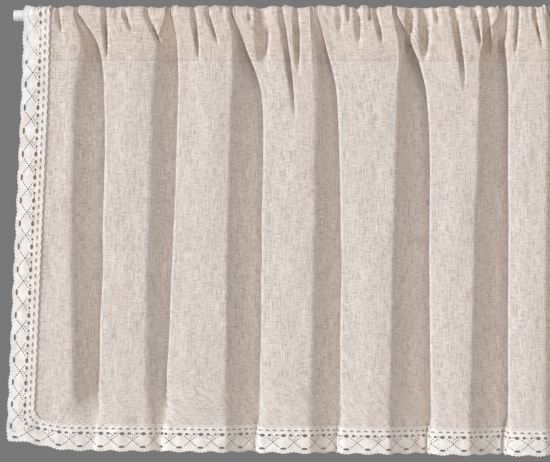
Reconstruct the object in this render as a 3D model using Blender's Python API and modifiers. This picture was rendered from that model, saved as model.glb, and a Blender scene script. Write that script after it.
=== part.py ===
"""Cafe curtain: a gathered linen panel with a rod pocket and a lace border, on its slim round rod.

Metres, +Z up. X runs along the rod, -Y faces the room, and the origin is the centre of the rod's left end.
A place on the cloth is (u, v): u runs across the flat cloth from its left edge, and v down the front from the
rod's axis. Where v is below zero the cloth runs over the rod, and then down the back of the pocket.
"""

import math
from collections import namedtuple

import bmesh
import bpy
import numpy as np

# Rod
ROD_LENGTH = 0.634
ROD_RADIUS = 0.0055
ROD_SIDES = 32
ROD_END_ROUNDING = 0.0006

# Cloth
CLOTH_THICKNESS = 0.0012
POCKET_RADIUS = 0.0070  # middle of the cloth where it lies on the rod
POCKET_DEPTH = 0.046  # from the rod's axis down to the pocket's seam
HEM_DROP = 0.4152  # from the rod's axis down to the cloth's lower edge
HEM_SLOPE = 0.018  # the right end hangs this share lower than the left
HANG = 1.006  # how much longer the whole hangs than its flat places
LEFT_CORNER_LIFT = 0.0095  # how much higher the lower corners hang
RIGHT_CORNER_LIFT = 0.0060
LIFTED_REACH = 0.060
RIDGE_Y = -0.0130  # how far the front of each fold stands towards the room
SHALLOWER_FROM = 0.345  # the valleys get shallower from this depth down to the hem
OPENS_FROM = 0.384  # the folds' covered edges open out from this depth down past the hem
OPEN_AT = HEM_DROP + 0.008

# Lace border
LACE_THICKNESS = 0.0010
LACE_WIDTH = 0.027
LACE_OVERLAP = 0.006  # how much of it lies on the cloth
LACE_REPEAT = 0.0222
LACE_SCALLOP = 0.0016
LACE_CELLS = 3  # stations in one repeat
SEWN_GAP = 0.0003
MITRE_GAP = 0.0004

# Depths below the rod's axis at which the tables below give each place
TABLE_DEPTHS = (0.080, 0.240, 0.385)

Side = namedtuple("Side", "edge_rod edge_top edge_mid edge_low y_outer y_edge y_inner inner_step")
LEFT_SIDE = Side(0.0315, 0.0295, 0.0225, 0.0165, -0.0108, -0.0122, -0.0126, 0.016)
RIGHT_SIDE = Side(0.6015, 0.6035, 0.6110, 0.6175, -0.0108, -0.0122, -0.0126, -0.014)
SIDE_OPENS = 0.060

# Each valley between two folds: its crease at the rod, where the cloth turns back, where the next fold's edge
# covers it, how deep it is, the depth below the rod by which it has opened, and its share left at the hem
Valley = namedtuple("Valley", "crease turn_top turn_mid turn_low edge_top edge_mid edge_low depth opens at_hem")
VALLEYS = (
    Valley(0.0640, 0.0610, 0.0560, 0.0550, 0.0925, 0.0900, 0.0865, 0.018, 0.050, 0.42),
    Valley(0.1545, 0.1400, 0.1345, 0.1335, 0.1660, 0.1600, 0.1540, 0.018, 0.045, 0.75),
    Valley(0.2160, 0.2195, 0.2150, 0.2145, 0.2490, 0.2495, 0.2465, 0.023, 0.085, 0.90),
    Valley(0.2995, 0.3025, 0.3015, 0.2985, 0.3250, 0.3285, 0.3275, 0.020, 0.080, 0.85),
    Valley(0.3790, 0.3855, 0.3810, 0.3785, 0.4145, 0.4170, 0.4185, 0.026, 0.085, 0.90),
    Valley(0.4755, 0.4675, 0.4620, 0.4585, 0.4955, 0.4955, 0.4955, 0.025, 0.080, 0.85),
    Valley(0.5310, 0.5335, 0.5310, 0.5305, 0.5630, 0.5660, 0.5650, 0.022, 0.070, 0.85),
)

# The cloth's line through one valley: an offset from the turn or from the edge, that offset at the hem, a share
# of the depth, and the offset from the crease at the rod
Bend = namedtuple("Bend", "beside offset hem_offset hanging_share gathered_offset")
BENDS = (
    Bend("turn", -0.0050, -0.0050, -0.01, -0.0090),
    Bend("turn", 0.0003, 0.0003, 0.04, -0.0045),
    Bend("turn", 0.0055, 0.0055, 0.22, -0.0020),
    Bend("edge", -0.0080, -0.0130, 0.80, -0.0005),
    Bend("edge", 0.0035, -0.0060, 1.00, 0.0005),
    Bend("edge", 0.0035, -0.0022, 0.60, 0.0012),
    Bend("edge", 0.0002, 0.0005, 0.24, 0.0022),
    Bend("edge", 0.0018, 0.0040, 0.02, 0.0042),
    Bend("edge", 0.0080, 0.0100, -0.02, 0.0090),
)

# Each small gather at the rod: its middle at the rod and where it runs out, its width, length and depth
Gather = namedtuple("Gather", "at_rod at_end width length depth")
GATHERS = (
    Gather(0.0460, 0.0500, 0.008, 0.026, 0.0035),
    Gather(0.0620, 0.0700, 0.010, 0.050, 0.0045),
    Gather(0.0935, 0.0940, 0.008, 0.050, 0.0040),
    Gather(0.1120, 0.1210, 0.009, 0.024, 0.0030),
    Gather(0.1350, 0.1460, 0.009, 0.034, 0.0030),
    Gather(0.1590, 0.1580, 0.011, 0.050, 0.0050),
    Gather(0.1820, 0.1850, 0.008, 0.050, 0.0045),
    Gather(0.1970, 0.2060, 0.008, 0.036, 0.0040),
    Gather(0.2180, 0.2270, 0.010, 0.050, 0.0045),
    Gather(0.2530, 0.2520, 0.012, 0.050, 0.0045),
    Gather(0.2710, 0.2820, 0.010, 0.055, 0.0045),
    Gather(0.2980, 0.3050, 0.009, 0.050, 0.0045),
    Gather(0.3450, 0.3460, 0.009, 0.032, 0.0030),
    Gather(0.3610, 0.3710, 0.009, 0.036, 0.0040),
    Gather(0.3810, 0.3900, 0.009, 0.046, 0.0045),
    Gather(0.3970, 0.3980, 0.008, 0.040, 0.0040),
    Gather(0.4130, 0.4130, 0.009, 0.050, 0.0045),
    Gather(0.4420, 0.4520, 0.010, 0.060, 0.0045),
    Gather(0.4630, 0.4690, 0.008, 0.040, 0.0040),
    Gather(0.4750, 0.4750, 0.008, 0.040, 0.0040),
    Gather(0.4920, 0.4910, 0.010, 0.050, 0.0045),
    Gather(0.5050, 0.5020, 0.008, 0.046, 0.0035),
    Gather(0.5210, 0.5290, 0.009, 0.036, 0.0035),
    Gather(0.5390, 0.5460, 0.010, 0.050, 0.0045),
    Gather(0.5580, 0.5600, 0.009, 0.050, 0.0045),
    Gather(0.5790, 0.5830, 0.009, 0.034, 0.0030),
)
PUFF_FRONT = 0.0045  # how far the cloth stands off the rod between gathers
PUFF_TOP = 0.0016
PUFF_BACK = 0.0030

LINEN = ((0.72, 0.64, 0.57, 1.0), 0.9, 0.0)
LACE = ((0.90, 0.87, 0.84, 1.0), 0.85, 0.0)
WHITE_ENAMEL = ((0.92, 0.92, 0.93, 1.0), 0.3, 0.0)

# Stations down the panel: the front below the rod, then round the rod, then down the back
FRONT_STATIONS = (0.0, 0.015, 0.030, POCKET_DEPTH, 0.085, 0.150, 0.235, 0.320, HEM_DROP - LACE_OVERLAP, HEM_DROP)
WRAP_STEPS = 4
BACK_STATIONS = (0.015, 0.030)
WRAP_LENGTH = math.pi * POCKET_RADIUS
HALF_STEP = 0.0004  # for measuring the surface's slope


def ease(share):
    """0 to 1 with level ends."""
    share = np.clip(share, 0.0, 1.0)
    return share * share * (3.0 - 2.0 * share)


def through_three(values, depth):
    """The parabola through values at TABLE_DEPTHS, read at depth."""
    return np.polyval(np.polyfit(TABLE_DEPTHS, values, 2), depth)


def catmull_rom(keys, at):
    """The smooth curve through keys, read at places counted in keys."""
    last = len(keys) - 2
    start = np.clip(np.floor(at).astype(int), 0, last)
    t = at - start
    before, here = keys[np.maximum(start - 1, 0)], keys[start]
    there, after = keys[start + 1], keys[np.minimum(start + 2, last + 1)]
    return 0.5 * (
        2.0 * here
        + (there - before) * t
        + (2.0 * before - 5.0 * here + 4.0 * there - after) * t**2
        + (3.0 * here - before - 3.0 * there + after) * t**3
    )


def side_keys(side, depth):
    """The outer edge of the lace, the cloth's edge and a point inside it: x, y, x at the rod, and opening depth."""
    out = -math.copysign(LACE_WIDTH - LACE_OVERLAP, side.inner_step)
    edge = through_three((side.edge_top, side.edge_mid, side.edge_low), depth)
    return [
        (edge + out, side.y_outer, side.edge_rod + out, SIDE_OPENS),
        (edge, side.y_edge, side.edge_rod, SIDE_OPENS),
        (edge + side.inner_step, side.y_inner, side.edge_rod + side.inner_step, SIDE_OPENS),
    ]


def section_keys(depth):
    """The cloth's section keys at one depth: hanging x, hanging y, x at the rod, and opening depth."""
    keys = side_keys(LEFT_SIDE, depth)
    near_hem = ease((depth - SHALLOWER_FROM) / (HEM_DROP - SHALLOWER_FROM))
    open_share = ease((depth - OPENS_FROM) / (OPEN_AT - OPENS_FROM))
    for number, valley in enumerate(VALLEYS):
        turn = through_three((valley.turn_top, valley.turn_mid, valley.turn_low), depth)
        edge = through_three((valley.edge_top, valley.edge_mid, valley.edge_low), depth)
        for bend in BENDS:
            beside = turn if bend.beside == "turn" else edge
            offset = bend.offset + (bend.hem_offset - bend.offset) * open_share
            y = RIDGE_Y + bend.hanging_share * valley.depth * (1.0 + (valley.at_hem - 1.0) * near_hem)
            keys.append((beside + offset, y, valley.crease + bend.gathered_offset, valley.opens))
        if number + 1 < len(VALLEYS):
            after = VALLEYS[number + 1]
            next_turn = through_three((after.turn_top, after.turn_mid, after.turn_low), depth)
            opens = (valley.opens + after.opens) / 2
            keys.append(((edge + next_turn) / 2, RIDGE_Y - 0.001, (valley.crease + after.crease) / 2, opens))
    keys += reversed(side_keys(RIGHT_SIDE, depth))
    return np.array(keys).T


def section_places(depth):
    """Flat distances from the cloth's left edge round the section at one depth, and the parameter at each."""
    keys_x, keys_y = section_keys(depth)[:2]
    parameter = np.linspace(0.0, len(keys_x) - 1.0, 40 * len(keys_x))
    x, y = catmull_rom(keys_x, parameter), catmull_rom(keys_y, parameter)
    along = np.concatenate([[0.0], np.cumsum(np.hypot(np.diff(x), np.diff(y)))])
    cloth_left = np.interp(1.0, parameter, along)
    cloth_right = np.interp(len(keys_x) - 2.0, parameter, along)
    return along - cloth_left, parameter, cloth_right - cloth_left


FLAT_WIDTH = section_places(HEM_DROP)[2]
REPEATS = round(FLAT_WIDTH / LACE_REPEAT)
STATION = FLAT_WIDTH / (REPEATS * LACE_CELLS)


def gathered(x, depth):
    """How deep the small gathers press in at x, from 0 to about their depth."""
    total = np.zeros_like(x)
    for gather in GATHERS:
        run = min(depth / gather.length, 1.0)
        middle = gather.at_rod + (gather.at_end - gather.at_rod) * run
        shape = np.exp(-(((x - middle) / (0.45 * gather.width)) ** 2))
        total += gather.depth * shape * (1.0 - ease(run))
    return total


def front_row(u, depth):
    """(x, y) of the hanging cloth at flat places u, all at one depth."""
    keys_x, keys_y, keys_rod, keys_opens = section_keys(depth)
    places, parameters, width = section_places(depth)
    inside = np.clip(u, 0.0, FLAT_WIDTH)
    parameter = np.interp(inside * width / FLAT_WIDTH + (u - inside), places, parameters)
    rod_x = catmull_rom(keys_rod, parameter)
    opened = np.clip(depth / catmull_rom(keys_opens, parameter), 0.0, 1.0)
    x = rod_x + (catmull_rom(keys_x, parameter) - rod_x) * (1.0 - (1.0 - opened) ** 2)
    puffed = POCKET_RADIUS + PUFF_FRONT - np.minimum(gathered(x, depth), PUFF_FRONT)
    return x, -puffed + (catmull_rom(keys_y, parameter) + puffed) * ease(opened)


def front(u, depth):
    """(x, y) of the hanging cloth at flat place u, for arrays u and depth of one length."""
    x, y = np.empty_like(u), np.empty_like(u)
    for level in np.unique(depth):
        here = depth == level
        x[here], y[here] = front_row(u[here], level)
    return x, y


def surface(u, v):
    """Points on the middle of the cloth at flat places u and v, two arrays of one length."""
    depth = np.where(v >= 0.0, v, np.maximum(-v - WRAP_LENGTH, 0.0))
    x, y = front(u, depth)
    rod_x, rod_y = front(u, np.zeros_like(depth))
    pressed = np.minimum(gathered(rod_x, 0.0) / PUFF_FRONT, 1.0)
    back_y = POCKET_RADIUS + PUFF_BACK * (1.0 - 0.6 * pressed)
    top_z = POCKET_RADIUS + PUFF_TOP * (1.0 - pressed)
    angle = np.clip(-v / WRAP_LENGTH, 0.0, 1.0) * math.pi
    reach = np.where(angle < math.pi / 2, -rod_y, back_y)
    wrapped = np.stack([rod_x, -reach * np.cos(angle), top_z * np.sin(angle)], axis=1)
    left_lift = LEFT_CORNER_LIFT * ease(1.0 - x / LIFTED_REACH)
    right_lift = RIGHT_CORNER_LIFT * ease(1.0 - (ROD_LENGTH - x) / LIFTED_REACH)
    level = (left_lift + right_lift) * (depth / HEM_DROP) ** 4
    level -= depth * (HANG + HEM_SLOPE * (x / ROD_LENGTH - 0.5))
    closing = np.clip(1.0 - depth / POCKET_DEPTH, 0.0, 1.0)
    behind = np.stack([x, y + closing * (back_y - rod_y), level], axis=1)
    hanging = np.stack([x, y, level], axis=1)
    points = np.where((v >= 0.0)[:, None], hanging, wrapped)
    return np.where((v < -WRAP_LENGTH)[:, None], behind, points)


def panel_rows():
    """The panel's stations v, from the seam at the back, up, over the rod and down the front to the hem."""
    back = [-WRAP_LENGTH - POCKET_DEPTH] + [-WRAP_LENGTH - depth for depth in reversed(BACK_STATIONS)]
    wrap = [-WRAP_LENGTH * step / WRAP_STEPS for step in range(WRAP_STEPS, 0, -1)]
    return np.array(back + wrap + list(FRONT_STATIONS))


def steps_between(corners, axis):
    """From each corner of a net of points, the step on to the next one and the step from the one before."""
    step = np.diff(corners, axis=axis)
    first, last = np.take(step, [0], axis=axis), np.take(step, [-1], axis=axis)
    return np.concatenate([step, last], axis=axis), np.concatenate([first, step], axis=axis)


def lace_net():
    """Flat places of the panel's grid, with the lace's outer edge on each side, and their points under the lace.

    Each corner moves outwards so that all four facets beside it move by the same distance.
    """
    beyond = LACE_WIDTH - LACE_OVERLAP
    columns = np.concatenate([[-beyond], np.arange(REPEATS * LACE_CELLS + 1) * STATION, [FLAT_WIDTH + beyond]])
    rows = np.append(panel_rows(), HEM_DROP + beyond)
    u, v = np.meshgrid(columns, rows, indexing="ij")
    corners = surface(u.ravel(), v.ravel()).reshape(u.shape + (3,))
    facets = [np.cross(down, across) for across in steps_between(corners, 0) for down in steps_between(corners, 1)]
    normals = np.stack([facet / np.linalg.norm(facet, axis=2, keepdims=True) for facet in facets], axis=2)
    outwards = np.linalg.pinv(normals, rcond=0.1) @ np.ones((4, 1))
    distance = (CLOTH_THICKNESS + LACE_THICKNESS) / 2 + SEWN_GAP
    return columns, rows, corners + distance * outwards[..., 0]


def on_lace(net, u, v):
    """Points on the lace's middle at flat places u and v, on the facets of its net."""
    columns, rows, corners = net
    column = np.clip(np.searchsorted(columns, u, side="right") - 1, 0, len(columns) - 2)
    row = np.clip(np.searchsorted(rows, v, side="right") - 1, 0, len(rows) - 2)
    across = ((u - columns[column]) / (columns[column + 1] - columns[column]))[:, None]
    down = ((v - rows[row]) / (rows[row + 1] - rows[row]))[:, None]
    upper = corners[column, row] * (1.0 - across) + corners[column + 1, row] * across
    lower = corners[column, row + 1] * (1.0 - across) + corners[column + 1, row + 1] * across
    return upper * (1.0 - down) + lower * down


def material(name, finish):
    """A plain Principled material from (colour, roughness, metallic)."""
    colour, roughness, metallic = finish
    made = bpy.data.materials.new(name)
    made.use_nodes = True
    shader = made.node_tree.nodes["Principled BSDF"]
    shader.inputs["Base Color"].default_value = colour
    shader.inputs["Roughness"].default_value = roughness
    shader.inputs["Metallic"].default_value = metallic
    made.diffuse_color = colour
    return made


def solidified(name, mesh, thickness, look, collection, branching=False):
    """A sheet of the given thickness, half of it on each side of the mesh."""
    made = bpy.data.objects.new(name, mesh)
    collection.objects.link(made)
    mesh.materials.append(look)
    mesh.shade_smooth()
    solid = made.modifiers.new("Thickness", "SOLIDIFY")
    solid.thickness = thickness
    solid.offset = 0.0
    if branching:
        solid.solidify_mode = "NON_MANIFOLD"
        solid.nonmanifold_thickness_mode = "EVEN"
        solid.nonmanifold_boundary_mode = "FLAT"
        solid.nonmanifold_merge_threshold = 0.00001
    else:
        solid.use_even_offset = True
        solid.use_quality_normals = True
    return made


def grid_sheet(name, columns, rows, place, holes=()):
    """A mesh of columns by rows cells whose corners place(column, row) gives, without the cells in holes."""
    shape = bmesh.new()
    bmesh.ops.create_grid(shape, x_segments=columns, y_segments=rows, size=1.0)
    shape.verts.ensure_lookup_table()
    column = np.array([(v.co.x + 1.0) / 2.0 * columns for v in shape.verts]).round().astype(int)
    row = np.array([(v.co.y + 1.0) / 2.0 * rows for v in shape.verts]).round().astype(int)
    number = {vert: (column[i], row[i]) for i, vert in enumerate(shape.verts)}
    cut = [f for f in shape.faces if tuple(np.min([number[v] for v in f.verts], axis=0)) in holes]
    bmesh.ops.delete(shape, geom=cut, context="FACES_ONLY")
    for vert, point in zip(list(shape.verts), place(column, row)):
        vert.co = point
    bmesh.ops.remove_doubles(shape, verts=shape.verts, dist=0.00001)
    mesh = bpy.data.meshes.new(name)
    shape.to_mesh(mesh)
    shape.free()
    return mesh


def make_rod(collection, look):
    """The rod, with its left end's centre at the origin."""
    bpy.ops.mesh.primitive_cylinder_add(
        vertices=ROD_SIDES,
        radius=ROD_RADIUS,
        depth=ROD_LENGTH,
        location=(ROD_LENGTH / 2, 0.0, 0.0),
        rotation=(0.0, math.pi / 2, 0.0),
    )
    rod = bpy.context.object
    rod.name = "rod"
    rod.data.name = "rod"
    rod.data.materials.append(look)
    rod.data.shade_smooth()
    rod.data.set_sharp_from_angle(angle=math.radians(30))
    rounding = rod.modifiers.new("Rounded ends", "BEVEL")
    rounding.width = ROD_END_ROUNDING
    rounding.segments = 1
    rounding.limit_method = "ANGLE"
    rounding.angle_limit = math.radians(60)
    for group in list(rod.users_collection):
        group.objects.unlink(rod)
    collection.objects.link(rod)
    return rod


def make_panel(collection, look):
    """The linen, one sheet whose turned top is joined to its back at the pocket's seam."""
    rows = panel_rows()
    columns = REPEATS * LACE_CELLS

    def place(column, row):
        return surface(column * STATION, rows[row])

    mesh = grid_sheet("linen_panel", columns, len(rows) - 1, place)
    return solidified("linen_panel", mesh, CLOTH_THICKNESS, look, collection, branching=True)


def lace_rows():
    """Distances in from the lace's outer edge: the edge, the slots, the solid middle, the round holes, the footing."""
    return np.array([0.0, 0.0036, 0.0058, 0.0166, 0.0198, LACE_WIDTH - LACE_OVERLAP, LACE_WIDTH])


SLOT_ROW = 1
ROUND_ROW = 3
MIDDLE_CELL = 1
ROUND_HOLE_HALF = 0.0023


def lace_places(column, row, cells):
    """Flat places along and across a strip of lace: whole stations but for its round holes and scalloped edge."""
    along = column * STATION
    across = lace_rows()[row]
    in_repeat = column % LACE_CELLS
    round_hole = (row == ROUND_ROW) | (row == ROUND_ROW + 1)
    middle = (column // LACE_CELLS + 0.5) * LACE_CELLS * STATION
    inner = (column > 0) & (column < cells)
    along = np.where(round_hole & (in_repeat == 1) & inner, middle - ROUND_HOLE_HALF, along)
    along = np.where(round_hole & (in_repeat == 2) & inner, middle + ROUND_HOLE_HALF, along)
    notch = (row == 0) & (in_repeat == 0) & inner
    return along, across + np.where(notch, LACE_SCALLOP, 0.0)


def lace_holes(cells, first, last):
    """The cells cut out of a strip, in the repeats from first to last."""
    starts = range(first * LACE_CELLS, last * LACE_CELLS, LACE_CELLS)
    return {(start + MIDDLE_CELL, row) for start in starts for row in (SLOT_ROW, ROUND_ROW)}


def make_hem_lace(net, collection, look):
    """The strip along the hem, mitred at both corners."""
    cells = REPEATS * LACE_CELLS
    outer_drop = HEM_DROP + LACE_WIDTH - LACE_OVERLAP

    def place(column, row):
        along, across = lace_places(column, row, cells)
        beyond = LACE_WIDTH - LACE_OVERLAP - across
        start = -beyond + MITRE_GAP / 2
        end = FLAT_WIDTH + beyond - MITRE_GAP / 2
        first_inner, last_inner = 2 * STATION, FLAT_WIDTH - 2 * STATION
        into_start = np.clip(1.0 - along / first_inner, 0.0, 1.0)
        into_end = np.clip(1.0 - (FLAT_WIDTH - along) / (FLAT_WIDTH - last_inner), 0.0, 1.0)
        u = np.where(along < first_inner, first_inner + (start - first_inner) * into_start, along)
        u = np.where(along > last_inner, last_inner + (end - last_inner) * into_end, u)
        return on_lace(net, u, outer_drop - across)

    holes = lace_holes(cells, 1, REPEATS - 1)
    mesh = grid_sheet("lace_hem", cells, len(lace_rows()) - 1, place, holes)
    return solidified("lace_hem", mesh, LACE_THICKNESS, look, collection)


def side_stations():
    """Stations v of a side strip: down the back, over the rod and then whole stations down to the hem's mitre."""
    wrap = [v for v in panel_rows() if v < -HALF_STEP]
    wrap[0] += MITRE_GAP
    end = HEM_DROP + LACE_WIDTH - LACE_OVERLAP
    repeats = round(end / (LACE_CELLS * STATION))
    down = np.linspace(0.0, end, repeats * LACE_CELLS + 1)
    return np.concatenate([wrap, down]), len(wrap), repeats


def make_side_lace(name, net, collection, look, right):
    """One of the two strips beside the panel, from the seam at the back over the rod to the hem's corner."""
    stations, wrapped, repeats = side_stations()
    cells = len(stations) - 1
    step = (HEM_DROP + LACE_WIDTH - LACE_OVERLAP) / (repeats * LACE_CELLS)

    def place(column, row):
        front_column = np.maximum(column - wrapped, 0)
        along, across = lace_places(front_column, row, repeats * LACE_CELLS)
        v = np.where(column < wrapped, stations[column], along / STATION * step)
        inward = across - (LACE_WIDTH - LACE_OVERLAP)
        lowest = HEM_DROP - inward - MITRE_GAP / 2
        last_inner = HEM_DROP - LACE_OVERLAP - 2 * step
        into_end = (v - last_inner) / (stations[-1] - last_inner)
        v = np.where(v > last_inner, last_inner + (lowest - last_inner) * into_end, v)
        u = FLAT_WIDTH - inward if right else inward
        return on_lace(net, u, v)

    holes = {(c + wrapped, r) for c, r in lace_holes(cells, 0, repeats - 2)}
    mesh = grid_sheet(name, cells, len(lace_rows()) - 1, place, holes)
    return solidified(name, mesh, LACE_THICKNESS, look, collection)


def clear_scene():
    for old in list(bpy.data.objects):
        bpy.data.objects.remove(old, do_unlink=True)


def main():
    clear_scene()
    curtain = bpy.data.collections.new("cafe_curtain")
    bpy.context.scene.collection.children.link(curtain)
    make_rod(curtain, material("white enamel", WHITE_ENAMEL))
    make_panel(curtain, material("linen", LINEN))
    lace = material("cotton lace", LACE)
    net = lace_net()
    make_hem_lace(net, curtain, lace)
    make_side_lace("lace_left", net, curtain, lace, right=False)
    make_side_lace("lace_right", net, curtain, lace, right=True)


main()
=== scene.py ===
"""Looks of a gathered linen cafe curtain: slubbed linen, cotton bobbin lace, sewing and the white rod.

Metres, +Z up, -Y towards the room. A place on the cloth is (u, v): u runs across the flat cloth from its
left edge, and v down the front from the rod's axis. Below zero, v runs over the rod and down the back of the
pocket.
"""

import math
from collections import namedtuple

import bmesh
import bpy
import numpy as np
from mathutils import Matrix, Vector


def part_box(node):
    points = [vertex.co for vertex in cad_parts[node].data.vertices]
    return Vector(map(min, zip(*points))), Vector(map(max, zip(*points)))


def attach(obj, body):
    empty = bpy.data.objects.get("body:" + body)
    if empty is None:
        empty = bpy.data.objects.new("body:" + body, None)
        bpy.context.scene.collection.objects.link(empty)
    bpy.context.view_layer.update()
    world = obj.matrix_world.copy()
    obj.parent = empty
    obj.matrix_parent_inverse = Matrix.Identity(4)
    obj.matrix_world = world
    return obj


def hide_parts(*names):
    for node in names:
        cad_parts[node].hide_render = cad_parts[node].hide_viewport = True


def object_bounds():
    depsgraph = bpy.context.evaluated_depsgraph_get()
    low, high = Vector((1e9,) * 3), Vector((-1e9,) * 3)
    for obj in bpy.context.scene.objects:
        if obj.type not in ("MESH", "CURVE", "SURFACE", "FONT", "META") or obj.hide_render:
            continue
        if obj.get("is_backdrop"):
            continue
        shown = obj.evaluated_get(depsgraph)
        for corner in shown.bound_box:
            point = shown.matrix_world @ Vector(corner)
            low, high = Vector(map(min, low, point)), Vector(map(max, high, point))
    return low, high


bl_info = {
    "name": "Cafe Curtain",
    "version": (1, 0, 0),
    "blender": (4, 5, 0),
    "location": "3D View > Sidebar > Curtain",
    "description": "Dresses a gathered linen cafe curtain with a lace border on its rod",
    "category": "Object",
}

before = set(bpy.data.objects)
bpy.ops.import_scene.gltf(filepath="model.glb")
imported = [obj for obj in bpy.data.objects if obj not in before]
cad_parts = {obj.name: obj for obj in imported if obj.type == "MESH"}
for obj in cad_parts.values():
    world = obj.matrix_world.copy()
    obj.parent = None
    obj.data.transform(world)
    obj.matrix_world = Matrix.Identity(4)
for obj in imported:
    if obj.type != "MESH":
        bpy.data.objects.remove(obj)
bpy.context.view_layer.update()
ROD_LOW, ROD_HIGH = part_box("rod")
ROD_LENGTH = ROD_HIGH.x - ROD_LOW.x
ROD_RADIUS = (ROD_HIGH.z - ROD_LOW.z) / 2

# Cloth: the pocket round the rod, the drop from the rod's axis to the linen's lower edge, and the side hems
POCKET_RADIUS = 0.0070
WRAP_LENGTH = math.pi * POCKET_RADIUS
POCKET_DEPTH = 0.046
HEM_DROP = 0.4152
SIDE_HEM = 0.010
CLOTH_THICKNESS = 0.0004

# The hem falls a little from left to right, and its corners are drawn up within a reach of the rod's ends
HANG = 1.006
HEM_SLOPE = 0.018
LEFT_CORNER_LIFT = 0.0070
RIGHT_CORNER_LIFT = 0.0060
LIFTED_REACH = 0.060

# The folds' fronts, and how far the gathered cloth puffs out in front of, above and behind the rod
RIDGE_Y = -0.0130
RIDGE_RISE = 0.001
PUFF_FRONT = 0.0060
PUFF_TOP = 0.0026
TOP_BUMP = 0.0007
BUMP_CELLS = (0.0062, 0.0031)
PUFF_BACK = 0.0030

# Lace border
LACE_WIDTH = 0.027
LACE_OVERLAP = 0.006
LACE_BEYOND = LACE_WIDTH - LACE_OVERLAP
LACE_REPEAT = 0.0233
LACE_LIFT = 0.0008
CORNER_ROUND = 0.0030
CORNER_ROUND_SHARE = 0.38

# Depths below the rod's axis: where the tables below give each place, where the gathers have run out into
# folds, where the flat width is measured, and where valleys fade and folds open towards the hem
TABLE_DEPTHS = (0.0, 0.030, 0.080, 0.240, 0.385)
GATHERED_DEPTH = 0.055
SETTLED = 0.080
MEASURED_AT = 0.240
FADES_FROM = 0.365
OPENS_FROM = 0.384
OPEN_AT = HEM_DROP + 0.008

# A side border's cloth edge at each of the table's depths, how far the lace's outer edge, that edge and a
# point inside it stand from the rod's plane, and the step to that point
Side = namedtuple("Side", "rod neck top middle low y_outer y_edge y_inner inner_step")
LEFT_SIDE = Side(0.0315, 0.0310, 0.0295, 0.0225, 0.0165, -0.0115, -0.0129, -0.0126, 0.016)
RIGHT_SIDE = Side(0.6015, 0.6020, 0.6035, 0.6110, 0.6175, -0.0108, -0.0122, -0.0126, -0.014)

# Each valley between two folds at each of the table's depths: where the cloth turns back, and where the next
# fold's edge covers it; then how deep it is, and what share of that is left at the hem
Valley = namedtuple("Valley", "turns edges depth at_hem")
VALLEYS = (
    Valley((0.0615, 0.0700, 0.0620, 0.0600, 0.0610), (0.0660, 0.0855, 0.0925, 0.0905, 0.0860), 0.021, 0.09),
    Valley((0.1525, 0.1450, 0.1400, 0.1345, 0.1335), (0.1590, 0.1645, 0.1660, 0.1600, 0.1540), 0.018, 0.40),
    Valley((0.2165, 0.2210, 0.2195, 0.2150, 0.2145), (0.2205, 0.2325, 0.2490, 0.2495, 0.2465), 0.024, 0.88),
    Valley((0.2980, 0.3000, 0.3025, 0.3015, 0.2985), (0.3050, 0.3135, 0.3250, 0.3285, 0.3275), 0.020, 1.00),
    Valley((0.3800, 0.3870, 0.3855, 0.3810, 0.3785), (0.3850, 0.4000, 0.4145, 0.4170, 0.4185), 0.027, 1.00),
    Valley((0.4860, 0.4700, 0.4675, 0.4620, 0.4585), (0.4945, 0.4930, 0.4955, 0.4955, 0.4955), 0.027, 1.00),
    Valley((0.5330, 0.5355, 0.5360, 0.5335, 0.5330), (0.5375, 0.5500, 0.5630, 0.5660, 0.5650), 0.022, 0.95),
)

# The cloth's line through one valley: an offset from the turn or from the edge, that offset at the rod and
# at the hem, where the fold opens out, and a share of the depth
Bend = namedtuple("Bend", "beside offset rod_offset hem_offset share")
BENDS = (
    Bend("turn", -0.0050, -0.0035, -0.0050, -0.01),
    Bend("turn", 0.0003, -0.0008, 0.0003, 0.04),
    Bend("turn", 0.0055, 0.0006, 0.0055, 0.22),
    Bend("edge", -0.0080, -0.0018, -0.0100, 0.71),
    Bend("edge", 0.0035, -0.0003, -0.0035, 1.00),
    Bend("edge", 0.0035, 0.0001, -0.0010, 0.60),
    Bend("edge", 0.0000, 0.0004, 0.0003, 0.17),
    Bend("edge", 0.0007, 0.0009, 0.0036, 0.02),
    Bend("edge", 0.0050, 0.0042, 0.0095, -0.008),
)

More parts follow.
